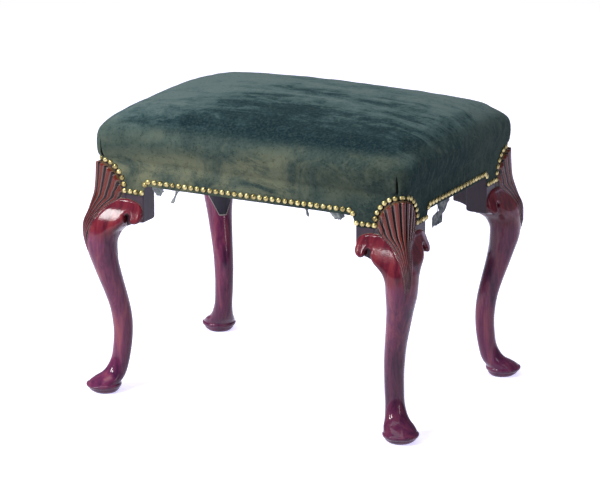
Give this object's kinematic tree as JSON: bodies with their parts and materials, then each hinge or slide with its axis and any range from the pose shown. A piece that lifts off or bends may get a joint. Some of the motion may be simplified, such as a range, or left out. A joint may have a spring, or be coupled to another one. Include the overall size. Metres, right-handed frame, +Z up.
{
  "type": "upholstered stool",
  "caption": "Stuff-over stool with a domed leather seat, close-nailed with brass, on cabriole legs with shell-carved knees, scrolled brackets and pad feet.",
  "frame": {"origin": "on the floor, at the middle of the stool's plan", "axes": "+Z up, +X along the long side, -Y towards the front long side"},
  "size_m": [0.6164, 0.4564, 0.5069],
  "materials": {
    "mahogany": "gloss",
    "beech": "matte",
    "brass": "satin",
    "iron": "matte",
    "webbing": "matte",
    "hessian": "matte",
    "hair": "matte",
    "linen": "matte",
    "leather": "matte"
  },
  "bodies": {
    "root": {"brace_screws": "iron", "bracket_back_left_long": "mahogany", "bracket_back_left_short": "mahogany", "bracket_back_right_long": "mahogany", "bracket_back_right_short": "mahogany", "bracket_front_left_long": "mahogany", "bracket_front_left_short": "mahogany", "bracket_front_right_long": "mahogany", "bracket_front_right_short": "mahogany", "corner_brace_back_left": "beech", "corner_brace_back_right": "beech", "corner_brace_front_left": "beech", "corner_brace_front_right": "beech", "first_stuffing": "hair", "hessian": "hessian", "leather_cover": "leather", "leg_back_left": "mahogany", "leg_back_right": "mahogany", "leg_front_left": "mahogany", "leg_front_right": "mahogany", "lining": "linen", "nails_back": "brass", "nails_front": "brass", "nails_knee_back_left": "brass", "nails_knee_back_right": "brass", "nails_knee_front_left": "brass", "nails_knee_front_right": "brass", "nails_left": "brass", "nails_right": "brass", "rail_back": "beech", "rail_front": "beech", "rail_left": "beech", "rail_right": "beech", "scrim": "hessian", "second_stuffing": "hair", "tenon_pegs": "beech", "wadding": "linen", "webbing_cross_1": "webbing", "webbing_cross_2": "webbing", "webbing_cross_3": "webbing", "webbing_cross_4": "webbing", "webbing_cross_5": "webbing", "webbing_long_1": "webbing", "webbing_long_2": "webbing", "webbing_long_3": "webbing", "webbing_long_4": "webbing", "webbing_tacks": "iron"}
  },
  "joints": []
}
